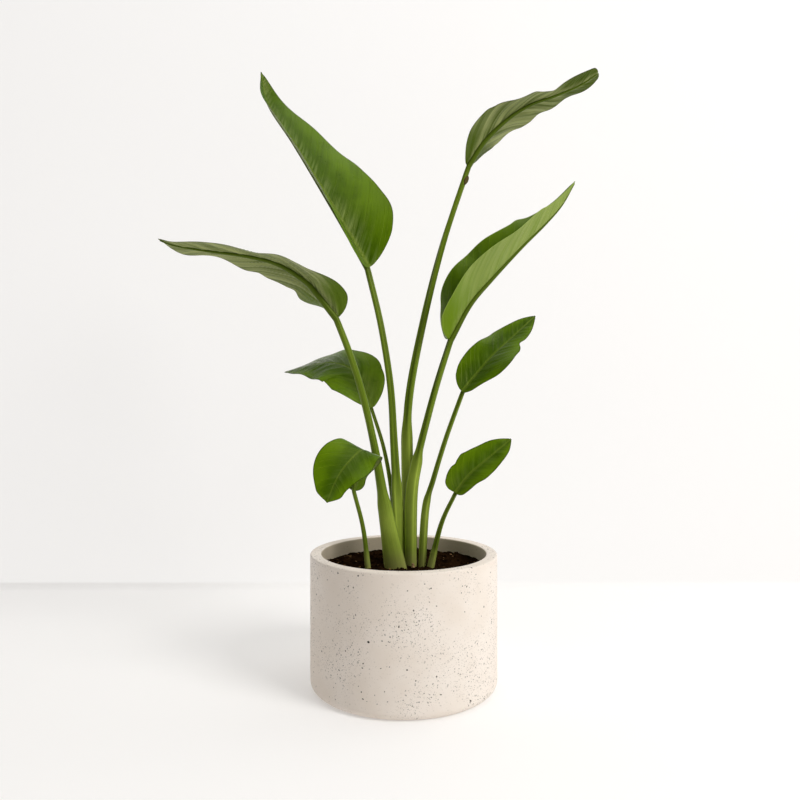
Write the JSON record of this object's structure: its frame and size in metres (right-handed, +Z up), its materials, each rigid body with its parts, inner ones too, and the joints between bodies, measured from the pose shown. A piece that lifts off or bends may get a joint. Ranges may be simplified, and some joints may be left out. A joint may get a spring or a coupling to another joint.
{
  "type": "potted white bird of paradise",
  "caption": "Young white bird of paradise plant with long upright leaf stalks and large paddle-shaped leaves, standing in soil in a plain round cylindrical pot.",
  "frame": {"origin": "centre of the pot's flat underside, where it stands on the floor", "axes": "+Z up along the pot's axis; +X to the right and +Y away from the viewer, as the plant is seen from its front"},
  "size_m": [0.5551, 0.25, 0.8395],
  "materials": {
    "pot": "matte",
    "soil": "matte",
    "rootstock": "matte",
    "stalk": "satin",
    "blade": "satin"
  },
  "bodies": {
    "root": {"pot": "pot", "soil": "soil", "rootstock": "rootstock", "stalk_top_left": "stalk", "stalk_left_arch": "stalk", "stalk_top_right": "stalk", "stalk_right_fold": "stalk", "stalk_right_mid": "stalk", "stalk_right_low": "stalk", "stalk_left_low": "stalk", "stalk_left_mid": "stalk", "blade_top_left": "blade", "blade_left_arch": "blade", "blade_top_right": "blade", "blade_right_fold": "blade", "blade_right_mid": "blade", "blade_right_low": "blade", "blade_left_low": "blade", "blade_left_mid": "blade"}
  },
  "joints": []
}
